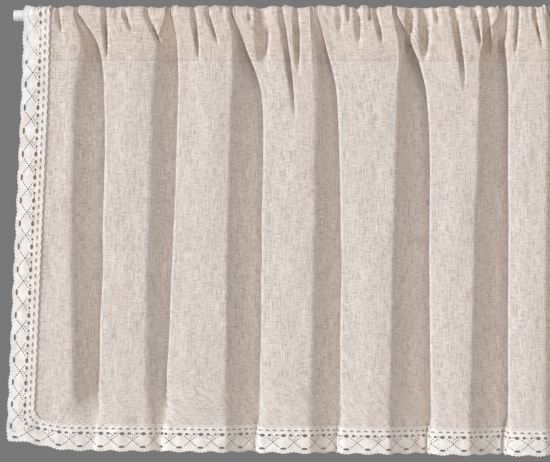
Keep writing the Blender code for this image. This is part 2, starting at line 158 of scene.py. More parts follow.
# Each crease at the rod: its left and right edges at the rod and where it runs out, the depth below the
# rod's axis where that is, how deep it presses in, and how soft its left edge is
Crease = namedtuple("Crease", "left right left_end right_end length depth soft")
CREASES = (
    Crease(0.0440, 0.0470, 0.0495, 0.0505, 0.022, 0.0050, 0.0020),
    Crease(0.0905, 0.0945, 0.0940, 0.0955, 0.050, 0.0080, 0.0010),
    Crease(0.1030, 0.1050, 0.1030, 0.1040, 0.006, 0.0030, 0.0010),
    Crease(0.1110, 0.1145, 0.1200, 0.1215, 0.022, 0.0050, 0.0020),
    Crease(0.1335, 0.1360, 0.1480, 0.1520, 0.034, 0.0070, 0.0030),
    Crease(0.1790, 0.1840, 0.1855, 0.1875, 0.050, 0.0070, 0.0010),
    Crease(0.1935, 0.1975, 0.2060, 0.2080, 0.034, 0.0065, 0.0020),
    Crease(0.2360, 0.2385, 0.2360, 0.2370, 0.010, 0.0030, 0.0010),
    Crease(0.2460, 0.2560, 0.2450, 0.2575, 0.054, 0.0080, 0.0050),
    Crease(0.2670, 0.2710, 0.2815, 0.2860, 0.106, 0.0080, 0.0010),
    Crease(0.2815, 0.2860, 0.2830, 0.2880, 0.060, 0.0070, 0.0010),
    Crease(0.3250, 0.3300, 0.3260, 0.3280, 0.022, 0.0030, 0.0030),
    Crease(0.3345, 0.3370, 0.3350, 0.3360, 0.010, 0.0040, 0.0010),
    Crease(0.3430, 0.3480, 0.3450, 0.3490, 0.034, 0.0045, 0.0030),
    Crease(0.3565, 0.3590, 0.3570, 0.3580, 0.008, 0.0050, 0.0010),
    Crease(0.3605, 0.3650, 0.3690, 0.3720, 0.032, 0.0065, 0.0010),
    Crease(0.3950, 0.4010, 0.3910, 0.3990, 0.044, 0.0075, 0.0010),
    Crease(0.4090, 0.4165, 0.4075, 0.4175, 0.050, 0.0075, 0.0030),
    Crease(0.4225, 0.4255, 0.4255, 0.4270, 0.014, 0.0045, 0.0010),
    Crease(0.4395, 0.4450, 0.4490, 0.4560, 0.074, 0.0080, 0.0010),
    Crease(0.4600, 0.4650, 0.4680, 0.4700, 0.036, 0.0060, 0.0010),
    Crease(0.4722, 0.4768, 0.4690, 0.4820, 0.048, 0.0075, 0.0010),
    Crease(0.4865, 0.4960, 0.4850, 0.4940, 0.046, 0.0080, 0.0010),
    Crease(0.5035, 0.5070, 0.5010, 0.5040, 0.044, 0.0060, 0.0020),
    Crease(0.5200, 0.5235, 0.5290, 0.5305, 0.034, 0.0070, 0.0010),
    Crease(0.5460, 0.5490, 0.5480, 0.5510, 0.026, 0.0050, 0.0010),
    Crease(0.5600, 0.5650, 0.5640, 0.5690, 0.050, 0.0080, 0.0020),
    Crease(0.5760, 0.5790, 0.5800, 0.5820, 0.030, 0.0055, 0.0010),
    Crease(0.5885, 0.5910, 0.5900, 0.5910, 0.018, 0.0040, 0.0010),
)

# How soft a crease's right edge is, how much of its width closes towards its end, how much deeper it gets
# half way down, and how fast it ends. It never reaches the rod: the cloth there may press in to the pocket's
# radius and no further
CRISP = 0.0010
CREASE_CLOSES = 0.8
CREASE_SWELLS = 0.5
CREASE_ENDS = 2.2
FREE_OF_ROD_FROM = 0.004
FREE_OF_ROD_OVER = 0.050
PRESS_BELOW_ROD = 0.030

# Openings of one lace repeat, in millimetres from its middle and in from its outer edge. "both" mirrors one
# to the other half of the repeat. long runs with the lace's edge and wide runs across it
Opening = namedtuple("Opening", "along inward long wide sides", defaults=("one",))
OPENINGS = (
    Opening(0.0, 4.7, 7.2, 2.4),
    Opening(0.0, 17.8, 5.4, 3.3),
    Opening(7.8, 18.0, 4.2, 2.6),
    Opening(-7.5, 18.0, 3.2, 2.1),
    Opening(-4.2, 18.3, 1.5, 1.4),
    Opening(5.4, 6.5, 1.6, 1.4, "both"),
    Opening(7.4, 8.0, 1.6, 1.4, "both"),
    Opening(9.4, 9.5, 1.6, 1.4, "both"),
    Opening(11.65, 11.3, 2.3, 2.1),
    Opening(9.5, 12.9, 1.6, 1.4, "both"),
    Opening(7.5, 14.3, 1.6, 1.4, "both"),
    Opening(5.4, 15.5, 1.5, 1.3, "both"),
    Opening(11.65, 14.3, 1.5, 1.3),
    Opening(-9.7, 15.8, 1.5, 1.3),
    Opening(-11.65, 17.2, 1.5, 1.3),
    Opening(-1.7, 22.8, 4.4, 2.0),
    Opening(6.1, 22.8, 4.4, 2.0),
    Opening(-9.5, 22.8, 4.4, 2.0),
    Opening(0.0, 1.5, 1.0, 0.9),
    Opening(2.7, 1.8, 1.0, 0.9, "both"),
)
SCALLOP = 0.0014
PICOT = 0.0004
EDGE_BAND = 4.2

# The lace's relief in millimetres: a raised rim round each opening, a thick diamond between them, and fine
# ribs along the outer edge
RIM_HEIGHT = 0.16
DIAMOND_HEIGHT = 0.35
DIAMOND_HALF = (9.5, 6.8)
DIAMOND_MIDDLE = 11.2
RIB_HEIGHT = 0.06
RIB_SPACING = 1.1
RIB_BAND = 4.0

# Sewing
ROUTE_STEP = 0.0008
THREAD_THICKNESS = 0.0004
LACE_STITCH = 0.0026

# The camera stands far off, and the picture's width spans as much of the rod's plane as in the photograph
SENSOR = 36.0
CAMERA_AWAY = 2.60
PICTURE_WIDTH = 0.550
CAMERA_PLACE = (0.2625, -2.610, -0.2162)
FLOOR_BELOW = 0.75
FLOOR_RADIUS = 2.4


class CurtainSettings(bpy.types.PropertyGroup):
    """Sizes and colours of the curtain's looks."""

    columns: bpy.props.IntProperty(
        name="Cloth columns", description="Cells of the linen across the flat cloth", default=760, min=60
    )
    rumple: bpy.props.FloatProperty(
        name="Rumple", description="Height of the linen's soft unevenness", default=0.0007, unit="LENGTH"
    )
    pucker: bpy.props.FloatProperty(
        name="Pucker",
        description="Height of the puckers beside the pocket's seam",
        default=0.0005,
        unit="LENGTH",
    )
    lace_cell: bpy.props.FloatProperty(
        name="Lace cell", description="Size of the lace's mesh cells", default=0.00052, unit="LENGTH"
    )
    stitch: bpy.props.FloatProperty(
        name="Stitch", description="Length from one seam stitch to the next", default=0.0030, unit="LENGTH"
    )
    cord: bpy.props.FloatProperty(
        name="Cord",
        description="Thickness of the cord along the lace's inner edge",
        default=0.0012,
        unit="LENGTH",
    )
    linen: bpy.props.FloatVectorProperty(
        name="Linen", description="The linen's pale yarn", default=(0.752, 0.690, 0.643), subtype="COLOR"
    )
    slub: bpy.props.FloatVectorProperty(
        name="Slub", description="The linen's darker slubs", default=(0.36, 0.285, 0.22), subtype="COLOR"
    )
    lace: bpy.props.FloatVectorProperty(
        name="Lace", description="The lace's cotton", default=(0.880, 0.840, 0.802), subtype="COLOR"
    )
    enamel: bpy.props.FloatVectorProperty(
        name="Enamel", description="The rod's white enamel", default=(0.87, 0.865, 0.875), subtype="COLOR"
    )
    # Painted shade: the backdrop's dark grey stands in for the shade behind the curtain, seen through the
    # lace's openings
    backdrop: bpy.props.FloatVectorProperty(
        name="Backdrop",
        description="The plain tone behind the curtain",
        default=(0.19, 0.19, 0.19),
        subtype="COLOR",
    )


def ease(share):
    """0 to 1 with level ends."""
    share = np.clip(share, 0.0, 1.0)
    return share * share * (3.0 - 2.0 * share)


def at_depth(values, depth):
    """The smooth curve through values at TABLE_DEPTHS, read at depth."""
    clipped = min(depth, TABLE_DEPTHS[-1])
    slope = (values[-1] - values[-2]) / (TABLE_DEPTHS[-1] - TABLE_DEPTHS[-2])
    at = np.interp(clipped, TABLE_DEPTHS, range(len(TABLE_DEPTHS)))
    low = int(min(at, len(values) - 2))
    gap = TABLE_DEPTHS[low + 1] - TABLE_DEPTHS[low]
    slopes = [slope_at(values, place) for place in (low, low + 1)]
    t = (clipped - TABLE_DEPTHS[low]) / gap
    here, there = values[low], values[low + 1]
    bend = (2 * t**3 - 3 * t**2 + 1) * here + (3 * t**2 - 2 * t**3) * there
    bend += ((t**3 - 2 * t**2 + t) * slopes[0] + (t**3 - t**2) * slopes[1]) * gap
    return bend + slope * (depth - clipped)


def slope_at(values, place):
    """The curve's slope at one of TABLE_DEPTHS."""
    before, after = max(place - 1, 0), min(place + 1, len(values) - 1)
    return (values[after] - values[before]) / (TABLE_DEPTHS[after] - TABLE_DEPTHS[before])


def catmull_rom(keys, at):
    """The smooth curve through keys, read at places counted in keys."""
    last = len(keys) - 2
    start = np.clip(np.floor(at).astype(int), 0, last)
    t = at - start
    before, here = keys[np.maximum(start - 1, 0)], keys[start]
    there, after = keys[start + 1], keys[np.minimum(start + 2, last + 1)]
    return 0.5 * (
        2.0 * here
        + (there - before) * t
        + (2.0 * before - 5.0 * here + 4.0 * there - after) * t**2
        + (3.0 * here - before - 3.0 * there + after) * t**3
    )


def side_keys(side, depth):
    """The outer edge of the lace, the cloth's edge and a point inside it, as (x, y)."""
    out = -math.copysign(LACE_BEYOND, side.inner_step)
    edge = at_depth(side[:5], depth)
    return [(edge + out, side.y_outer), (edge, side.y_edge), (edge + side.inner_step, side.y_inner)]


def section_keys(depth):
    """The cloth's section keys at one depth, as (x, y)."""
    keys = side_keys(LEFT_SIDE, depth)
    settled = float(ease(depth / GATHERED_DEPTH))
    faded = float(ease((depth - FADES_FROM) / (HEM_DROP - FADES_FROM)))
    opened = float(ease((depth - OPENS_FROM) / (OPEN_AT - OPENS_FROM)))
    turns = [at_depth(valley.turns, depth) for valley in VALLEYS]
    edges = [at_depth(valley.edges, depth) for valley in VALLEYS]
    for number, valley in enumerate(VALLEYS):
        deep = valley.depth * (1.0 + (valley.at_hem - 1.0) * faded)
        deep = PUFF_FRONT + (deep - PUFF_FRONT) * settled
        for bend in BENDS:
            beside = turns[number] if bend.beside == "turn" else edges[number]
            offset = bend.rod_offset + (bend.offset - bend.rod_offset) * settled
            offset += (bend.hem_offset - bend.offset) * opened
            keys.append((beside + offset, RIDGE_Y + bend.share * deep))
        if number + 1 < len(VALLEYS):
            keys.append(((edges[number] + turns[number + 1]) / 2, RIDGE_Y - RIDGE_RISE * settled))
    keys += reversed(side_keys(RIGHT_SIDE, depth))
    return np.array(keys).T


def section_places(depth):
    """Flat distances from the cloth's left edge round the section at a depth, and the parameter at each."""
    keys_x, keys_y = section_keys(depth)
    parameter = np.linspace(0.0, len(keys_x) - 1.0, 40 * len(keys_x))
    x, y = catmull_rom(keys_x, parameter), catmull_rom(keys_y, parameter)
    along = np.concatenate([[0.0], np.cumsum(np.hypot(np.diff(x), np.diff(y)))])
    cloth_left = np.interp(1.0, parameter, along)
    cloth_right = np.interp(len(keys_x) - 2.0, parameter, along)
    return along - cloth_left, parameter, cloth_right - cloth_left


FLAT_WIDTH = section_places(MEASURED_AT)[2]
REPEATS = round(FLAT_WIDTH / LACE_REPEAT)


def creased(x, depth):
    """How deep the creases at the rod press in at x, at one depth."""
    total = np.zeros_like(x)
    for crease in CREASES:
        run = depth / crease.length
        if run < 1.0:
            left = crease.left + (crease.left_end - crease.left) * run
            right = crease.right + (crease.right_end - crease.right) * run
            pinch = 0.5 * (right - left) * CREASE_CLOSES * run**2.5
            left, right = left + pinch, right - pinch
            walls = ease((x - left + crease.soft) / (2 * crease.soft))
            walls = walls * ease((right - x + CRISP) / (2 * CRISP))
            deep = crease.depth * (1.0 + CREASE_SWELLS * math.sin(math.pi * run))
            deep *= float(ease((1.0 - run) * CREASE_ENDS))
            total = np.maximum(total, deep * walls)
    return total


def hanging_row(u, depth):
    """(x, y) of the hanging cloth at flat places u, all at one depth below the rod's axis."""
    keys_x, keys_y = section_keys(depth)
    places, parameters, width = section_places(max(depth, SETTLED))
    inside = np.clip(u, 0.0, FLAT_WIDTH)
    parameter = np.interp(inside * width / FLAT_WIDTH + (u - inside), places, parameters)
    x, y = catmull_rom(keys_x, parameter), catmull_rom(keys_y, parameter)
    pressed = y + creased(x, depth)
    clear = float(ease((depth - FREE_OF_ROD_FROM) / FREE_OF_ROD_OVER))
    deepest = -POCKET_RADIUS + PRESS_BELOW_ROD * clear
    return x, np.minimum(pressed, np.maximum(deepest, y))


def top_bumps(u):
    """The small uneven waves of the gathered cloth over the rod, from -1 to 1."""
    down = np.array([0.0, 0.5])
    wide, fine = (lattice_noise(u, down, cell, 1.0, seed)[:, 0] for cell, seed in zip(BUMP_CELLS, (8, 9)))
    return 0.6 * wide + 0.6 * fine


def cloth_row(u, v):
    """Points on the middle of the cloth at flat places u, all at one v."""
    rod_x, rod_y = hanging_row(u, 0.0)
    open_share = np.clip((-POCKET_RADIUS - rod_y) / PUFF_FRONT, 0.0, 1.0)
    back_y = POCKET_RADIUS + PUFF_BACK * (0.4 + 0.6 * open_share)
    if -WRAP_LENGTH <= v < 0.0:
        angle = -v / POCKET_RADIUS
        reach = -rod_y if angle < math.pi / 2 else back_y
        top_z = POCKET_RADIUS + PUFF_TOP * (0.25 + 0.55 * open_share) + TOP_BUMP * top_bumps(u)
        return np.stack([rod_x, -reach * math.cos(angle), top_z * math.sin(angle)], axis=1)
    depth = v if v >= 0.0 else -v - WRAP_LENGTH
    x, y = hanging_row(u, depth)
    if v < 0.0:
        y = y + (1.0 - depth / POCKET_DEPTH) * (back_y - rod_y) + CLOTH_THICKNESS
    left_lift = LEFT_CORNER_LIFT * ease(1.0 - x / LIFTED_REACH)
    right_lift = RIGHT_CORNER_LIFT * ease(1.0 - (ROD_LENGTH - x) / LIFTED_REACH)
    lift = (left_lift + right_lift) * (depth / HEM_DROP) ** 4
    return np.stack([x, y, lift - depth * (HANG + HEM_SLOPE * (x / ROD_LENGTH - 0.5))], axis=1)


def lattice_noise(u, v, size_u, size_v, seed):
    """Smooth noise from -1 to 1 with cells of the given sizes, at places u across and v down."""
    rng = np.random.default_rng(seed)
    cell_u, cell_v = (u - u.min()) / size_u, (v - v.min()) / size_v
    grid = rng.uniform(-1.0, 1.0, (int(cell_u.max()) + 2, int(cell_v.max()) + 2))
    i, j = cell_u.astype(int), cell_v.astype(int)
    s, t = ease(cell_u - i)[:, None], ease(cell_v - j)[None, :]
    near, far = grid[i][:, j], grid[i + 1][:, j]
    near_next, far_next = grid[i][:, j + 1], grid[i + 1][:, j + 1]
    return (near * (1 - s) + far * s) * (1 - t) + (near_next * (1 - s) + far_next * s) * t


def cloth_net(settings):
    """The cloth's points and outward normals on a grid of u and v, as far out as the lace reaches."""
    step = FLAT_WIDTH / settings.columns
    beyond = np.arange(1, int(LACE_BEYOND / step) + 2) * step
    u = np.concatenate([-beyond[::-1], np.arange(settings.columns + 1) * step, FLAT_WIDTH + beyond])
    back = -WRAP_LENGTH - np.linspace(POCKET_DEPTH, 0.0, 11)
    wrap = -WRAP_LENGTH + np.linspace(0.0, WRAP_LENGTH, 14)[1:-1]
    heading = np.linspace(0.0, POCKET_DEPTH - 0.0018, 24)
    seam = POCKET_DEPTH + np.array([-0.0010, -0.0005, 0.0, 0.0005, 0.0010, 0.0018])
    drop = np.linspace(POCKET_DEPTH + 0.0035, HEM_DROP + LACE_BEYOND, 56)
    v = np.concatenate([back, wrap, heading, seam, drop])
    points = np.stack([cloth_row(u, row) for row in v], axis=1)
    normals = np.cross(np.gradient(points, axis=1), np.gradient(points, axis=0))
    normals /= np.linalg.norm(normals, axis=2, keepdims=True)
    below = np.where(v < -WRAP_LENGTH, -v - WRAP_LENGTH, v)
    from_seam = np.abs(below - POCKET_DEPTH)
    lift = settings.rumple * lattice_noise(u, below, 0.021, 0.055, 3)
    lift += settings.rumple * 0.5 * lattice_noise(u, below, 0.009, 0.022, 4)
    near_seam = np.exp(-from_seam / 0.009)[None, :]
    near_rod = np.exp(-below / 0.010)[None, :]
    lift += settings.pucker * lattice_noise(u, below, 0.0045, 0.03, 5) * near_seam
    lift += 1.2 * settings.pucker * lattice_noise(u, below, 0.0034, 0.009, 6) * near_rod
    lift -= CLOTH_THICKNESS * np.exp(-((from_seam / 0.0008) ** 2))[None, :]
    share = ease((v + WRAP_LENGTH) / (0.6 * WRAP_LENGTH))
    lift *= np.where(v < -WRAP_LENGTH, -below / POCKET_DEPTH, share)[None, :]
    return u, v, points + normals * lift[..., None], normals


def on_net(net, u, v, lift):
    """Points at flat places u and v, lifted off the cloth by lift."""
    columns, rows, points, normals = net
    i = np.clip(np.searchsorted(columns, u, side="right") - 1, 0, len(columns) - 2)
    j = np.clip(np.searchsorted(rows, v, side="right") - 1, 0, len(rows) - 2)
    s = ((u - columns[i]) / (columns[i + 1] - columns[i]))[:, None]
    t = ((v - rows[j]) / (rows[j + 1] - rows[j]))[:, None]
    corners = ((i, j), (i + 1, j), (i, j + 1), (i + 1, j + 1))
    lifted = [points[corner] + normals[corner] * lift[:, None] for corner in corners]
    return (lifted[0] * (1 - s) + lifted[1] * s) * (1 - t) + (lifted[2] * (1 - s) + lifted[3] * s) * t


def new_object(name, data, place=(0.0, 0.0, 0.0)):
    """A new object of the scene at a place."""
    made = bpy.data.objects.new(name, data)
    made.location = place
    bpy.context.scene.collection.objects.link(made)
    return made


def new_piece(name, mesh, look):
    """An object for a finished mesh, moving with the curtain."""
    piece = new_object(name, mesh)
    mesh.materials.clear()
    mesh.materials.append(look)
    mesh.shade_smooth()
    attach(piece, "root")
    return piece


def finished_mesh(name, shape):
    """The mesh of a shape that is finished with."""
    mesh = bpy.data.meshes.new(name)
    shape.to_mesh(mesh)
    shape.free()
    return mesh


def corner_places(mesh):
    """The places of a mesh's corners, as rows of x, y and z."""
    flat = np.zeros(len(mesh.vertices) * 3)
    mesh.vertices.foreach_get("co", flat)
    return flat.reshape(-1, 3)


def move_corners(mesh, places):
    """Puts a mesh's corners at new places."""
    mesh.vertices.foreach_set("co", places.ravel())
    mesh.update()


def flat_uv(mesh, u, v):
    """Gives a mesh its flat places as its UV map, in metres."""
    layer = mesh.uv_layers.new(name="Flat")
    corner = np.zeros(len(mesh.loops), int)
    mesh.loops.foreach_get("vertex_index", corner)
    layer.data.foreach_set("uv", np.stack([u[corner], v[corner]], axis=1).ravel())


def grid_mesh(name, points):
    """A mesh of quads through points, an array (column, row, xyz), and each corner's column and row."""
    columns, rows = points.shape[:2]
    shape = bmesh.new()
    bmesh.ops.create_grid(shape, x_segments=columns - 1, y_segments=rows - 1, size=1.0)
    mesh = finished_mesh(name, shape)
    place = corner_places(mesh)
    column = np.round((place[:, 0] + 1.0) / 2.0 * (columns - 1)).astype(int)
    row = np.round((place[:, 1] + 1.0) / 2.0 * (rows - 1)).astype(int)
    move_corners(mesh, points[column, row])
    return mesh, column, row


class TreeMaker:
    """Adds nodes to a tree, left to right, and joins them."""

    def __init__(self, tree):
        self.tree = tree
        self.across = 0

    def add(self, kind, inputs=(), **settings):
        """A node with its settings, and with its inputs joined to sockets or set to values."""
        made = self.tree.nodes.new(kind)
        self.across += 180
        made.location = (self.across, 0)
        for name, value in settings.items():
            setattr(made, name, value)
        for name, value in dict(inputs).items():
            if isinstance(value, bpy.types.NodeSocket):
                self.tree.links.new(value, made.inputs[name])
            else:
                made.inputs[name].default_value = value
        return made

    def math(self, operation, first, second=0.0):
        """The result of one step of arithmetic."""
        return self.add("ShaderNodeMath", {0: first, 1: second}, operation=operation).outputs[0]

    def mix(self, share, first, second):
        """The second colour over the first by a share."""
        made = self.add("ShaderNodeMix", {0: share}, data_type="RGBA", blend_type="MIX")
        for place, colour in ((6, first), (7, second)):
            if isinstance(colour, bpy.types.NodeSocket):
                self.tree.links.new(colour, made.inputs[place])
            else:
                made.inputs[place].default_value = (*colour, 1.0)
        return made.outputs[2]

    def noise(self, place, across, down, detail):
        """Noise on the flat cloth, with so many cells in a metre across and down."""
        scale = (across, down, 1.0)
        mapped = self.add("ShaderNodeMapping", {"Vector": place, "Scale": scale}, vector_type="POINT")
        inputs = {"Vector": mapped.outputs[0], "Scale": 1.0, "Detail": detail, "Roughness": 0.55}
        return self.add("ShaderNodeTexNoise", inputs, noise_dimensions="2D").outputs[0]

    def levels(self, value, low, high, to_low=0.0, to_high=1.0):
        """Spreads low to high over to_low to to_high, held at both ends."""
        inputs = {"Value": value, "From Min": low, "From Max": high, "To Min": to_low, "To Max": to_high}
        return self.add("ShaderNodeMapRange", inputs, clamp=True).outputs[0]

    def finish_look(self, shader, colour, height, strength, distance):
        """Gives the shader its colour and a bump of some strength, so many metres high."""
        self.tree.links.new(colour, shader.inputs["Base Color"])
        bump = self.add("ShaderNodeBump", {"Height": height, "Strength": strength, "Distance": distance})
        self.tree.links.new(bump.outputs[0], shader.inputs["Normal"])


def new_material(name, roughness, **constants):
    """A Principled material and the maker of its tree."""
    made = bpy.data.materials.new(name)
    made.use_nodes = True
    shader = made.node_tree.nodes["Principled BSDF"]
    shader.location = (3600, 0)
    made.node_tree.nodes["Material Output"].location = (3900, 0)
    shader.inputs["Roughness"].default_value = roughness
    for socket, value in constants.items():
        shader.inputs[socket.replace("_", " ")].default_value = value
    return made, shader, TreeMaker(made.node_tree)


def toned(colour, *shares):
    """A colour times one share or times three, no more than white."""
    return tuple(min(c * share, 1.0) for c, share in zip(colour, shares * (3 // len(shares))))


def linen_material(settings):
    """Natural linen: uneven yarns both ways, brown slubs, and painted shade, darker and warmer, above the
    pocket's seam where the cloth lies doubled.
    """
    made, shader, maker = new_material("natural linen", 0.92, Sheen_Weight=0.15, Sheen_Roughness=0.5)
    place = maker.add("ShaderNodeUVMap", uv_map="Flat").outputs[0]
    warp = maker.noise(place, 1050.0, 60.0, 2.0)
    weft = maker.noise(place, 130.0, 1100.0, 2.0)
    warp_slub = maker.levels(maker.noise(place, 640.0, 105.0, 1.0), 0.58, 0.74)
    weft_slub = maker.levels(maker.noise(place, 120.0, 680.0, 1.0), 0.60, 0.76)
    pale_yarn = maker.levels(maker.noise(place, 800.0, 22.0, 1.0), 0.60, 0.74)
    fleck = maker.levels(maker.noise(place, 430.0, 300.0, 1.0), 0.70, 0.80)
    cloud = maker.levels(maker.noise(place, 30.0, 20.0, 3.0), 0.3, 0.7)
    pale = toned(settings.linen, 1.20)
    yarns = maker.levels(maker.math("ADD", warp, weft), 0.66, 1.34)
    base = maker.mix(yarns, toned(settings.linen, 0.70, 0.68, 0.66), pale)
    grey = toned(settings.linen, 0.88, 0.90, 0.93)
    clouded = maker.mix(maker.math("MULTIPLY", cloud, 0.35), base, grey)
    streak = maker.levels(maker.noise(place, 70.0, 6.0, 2.5), 0.42, 0.66)
    warm = toned(settings.linen, 1.02, 0.955, 0.90)
    clouded = maker.mix(maker.math("MULTIPLY", streak, 0.42), clouded, warm)
    lit = maker.mix(maker.math("MULTIPLY", pale_yarn, 0.45), clouded, pale)
    slubs = maker.math("MULTIPLY", maker.math("MAXIMUM", warp_slub, weft_slub), 0.43)
    slubbed = maker.mix(slubs, lit, settings.slub)
    slubbed = maker.mix(maker.math("MULTIPLY", fleck, 0.5), slubbed, toned(settings.slub, 0.75))
    across, down, _ = maker.add("ShaderNodeSeparateXYZ", {0: place}).outputs
    # Painted shade: above the pocket's seam, where the cloth lies doubled, its colour is darkened and warmed
    # to stand for the light that two layers let through less
    doubled_painted_shade = maker.levels(down, POCKET_DEPTH - 0.0004, POCKET_DEPTH + 0.0004, 1.0, 0.0)
    painted_shade_tint = maker.add("ShaderNodeMix", {0: doubled_painted_shade}, data_type="RGBA", blend_type="MULTIPLY")
    maker.tree.links.new(slubbed, painted_shade_tint.inputs[6])
    painted_shade_tint.inputs[7].default_value = (0.988, 0.955, 0.922, 1.0)
    warp_yarn = maker.math("SINE", maker.math("MULTIPLY", across, 2 * math.pi / 0.0007))
    weft_yarn = maker.math("SINE", maker.math("MULTIPLY", down, 2 * math.pi / 0.0008))
    weave = maker.math("MULTIPLY", warp_yarn, weft_yarn)
    height = maker.math("ADD", maker.math("MULTIPLY", weave, 0.12), maker.math("ADD", warp, weft))
    maker.finish_look(shader, painted_shade_tint.outputs[2], height, 0.6, 0.0004)
    return made


def lace_material(settings):
    """Off-white cotton: soft threads with a faint uneven tone."""
    made, shader, maker = new_material("cotton lace", 0.88, Sheen_Weight=0.2, Sheen_Roughness=0.4)
    place = maker.add("ShaderNodeUVMap", uv_map="Flat").outputs[0]
    thread = maker.noise(place, 700.0, 1100.0, 2.0)
    tone = maker.noise(place, 90.0, 90.0, 2.0)
    shade = maker.levels(maker.math("ADD", maker.math("MULTIPLY", thread, 0.7), tone), 0.5, 1.15)
    cotton = maker.mix(shade, toned(settings.lace, 0.80, 0.78, 0.76), toned(settings.lace, 1.06))
    maker.finish_look(shader, cotton, thread, 0.6, 0.0003)
    return made


def thread_material(name, colour):
    """Twisted sewing thread."""
    made, shader, maker = new_material(name, 0.75)
    place = maker.add("ShaderNodeTexCoord").outputs["Object"]
    noise = maker.add("ShaderNodeTexNoise", {"Vector": place, "Scale": 1500.0, "Detail": 1.0}).outputs[0]
    twist = maker.mix(noise, toned(colour, 0.82), colour)
    maker.tree.links.new(twist, shader.inputs["Base Color"])
    return made


def enamel_material(settings):
    """Satin white enamel with a faint ripple."""
    made, shader, maker = new_material("white enamel", 0.34, Coat_Weight=0.3, Coat_Roughness=0.2)
    place = maker.add("ShaderNodeTexCoord").outputs["Object"]
    ripple = maker.add("ShaderNodeTexNoise", {"Vector": place, "Scale": 180.0, "Detail": 3.0}).outputs[0]
    enamel = maker.mix(ripple, toned(settings.enamel, 0.96), settings.enamel)
    maker.finish_look(shader, enamel, ripple, 0.15, 0.0002)
    return made


def geometry_tree(name, *inputs):
    """An empty Geometry Nodes tree with geometry in and out, and with further (name, kind, value) inputs."""
    tree = bpy.data.node_groups.new(name, "GeometryNodeTree")
    tree.interface.new_socket("Geometry", in_out="OUTPUT", socket_type="NodeSocketGeometry")
    tree.interface.new_socket("Geometry", in_out="INPUT", socket_type="NodeSocketGeometry")
    for title, kind, value in inputs:
        socket = tree.interface.new_socket(title, in_out="INPUT", socket_type=kind)
        if value is not None:
            socket.default_value = value
    maker = TreeMaker(tree)
    return tree, maker, maker.add("NodeGroupInput").outputs


def finish_tree(maker, geometry, look):
    """Ends a tree in Realize Instances and Set Material."""
    whole = maker.add("GeometryNodeRealizeInstances", {"Geometry": geometry})
    dressed = maker.add("GeometryNodeSetMaterial", {"Geometry": whole.outputs[0], "Material": look})
    maker.add("NodeGroupOutput", {"Geometry": dressed.outputs[0]})


def made_with(tree, mesh, **values):
    """The plain mesh that a Geometry Nodes tree makes from a mesh, with its inputs set by name."""
    holder = new_object("holder", mesh)
    modifier = holder.modifiers.new("Nodes", "NODES")
    modifier.node_group = tree
    sockets = [item for item in tree.interface.items_tree if item.in_out == "INPUT"]
    known = {socket.name.lower(): socket.identifier for socket in sockets}
    for name, value in values.items():
        modifier[known[name]] = value
    holder.update_tag()
    bpy.context.view_layer.update()
    evaluated = holder.evaluated_get(bpy.context.evaluated_depsgraph_get())
    made = bpy.data.meshes.new_from_object(evaluated)
    holder.modifiers.remove(modifier)
    bpy.data.objects.remove(holder)
    return made


def repeats_tree():
    """Sets copies of one lace repeat end to end."""
    tree, maker, inputs = geometry_tree(
        "Lace repeats",
        ("Count", "NodeSocketInt", 10),
        ("Length", "NodeSocketFloat", LACE_REPEAT),
        ("Look", "NodeSocketMaterial", None),
    )
    step = maker.add("ShaderNodeCombineXYZ", {0: inputs["Length"]})
    line = maker.add(
        "GeometryNodeMeshLine", {"Count": inputs["Count"], "Offset": step.outputs[0]}, mode="OFFSET"
    )
    copies = maker.add(
        "GeometryNodeInstanceOnPoints", {"Points": line.outputs[0], "Instance": inputs["Geometry"]}
    )
    whole = maker.add("GeometryNodeRealizeInstances", {"Geometry": copies.outputs[0]})
    joined = maker.add("GeometryNodeMergeByDistance", {"Geometry": whole.outputs[0], "Distance": 0.00003})
    finish_tree(maker, joined.outputs[0], inputs["Look"])
    return tree


def stitches_tree():
    """Lays short rounded stitches along a line of points."""
    tree, maker, inputs = geometry_tree(
        "Stitches",
        ("Pitch", "NodeSocketFloat", 0.003),
        ("Thickness", "NodeSocketFloat", 0.0004),
        ("Look", "NodeSocketMaterial", None),
    )
    line = maker.add("GeometryNodeMeshToCurve", {"Mesh": inputs["Geometry"]})
    spaced = maker.add(
        "GeometryNodeResampleCurve", {"Curve": line.outputs[0], "Length": inputs["Pitch"]}, mode="LENGTH"
    )
    bead = maker.add("GeometryNodeMeshUVSphere", {"Segments": 8, "Rings": 5, "Radius": 0.5})
    tangent = maker.add("GeometryNodeInputTangent")
    turn = maker.add("FunctionNodeAlignRotationToVector", {"Vector": tangent.outputs[0]}, axis="X")
    long = maker.math("MULTIPLY", inputs["Pitch"], 0.78)
    size = maker.add("ShaderNodeCombineXYZ", {0: long, 1: inputs["Thickness"], 2: inputs["Thickness"]})
    copies = maker.add(
        "GeometryNodeInstanceOnPoints",
        {
            "Points": spaced.outputs[0],
            "Instance": bead.outputs[0],
            "Rotation": turn.outputs[0],
            "Scale": size.outputs[0],
        },
    )
    finish_tree(maker, copies.outputs[0], inputs["Look"])
    return tree


def cord_tree():
    """Runs a round cord along a line of points."""
    tree, maker, inputs = geometry_tree(
        "Cord", ("Thickness", "NodeSocketFloat", 0.001), ("Look", "NodeSocketMaterial", None)
    )
    line = maker.add("GeometryNodeMeshToCurve", {"Mesh": inputs["Geometry"]})
    half = maker.math("MULTIPLY", inputs["Thickness"], 0.5)
    ring = maker.add("GeometryNodeCurvePrimitiveCircle", {"Resolution": 6, "Radius": half})
    tube = maker.add(
        "GeometryNodeCurveToMesh",
        {"Curve": line.outputs[0], "Profile Curve": ring.outputs[0], "Fill Caps": True},
    )
    finish_tree(maker, tube.outputs[0], inputs["Look"])
    return tree


def line_mesh(name, points):
    """A line of edges through points."""
    shape = bmesh.new()
    corners = [shape.verts.new(point) for point in points]
    for pair in zip(corners, corners[1:]):
        shape.edges.new(pair)
    return finished_mesh(name, shape)


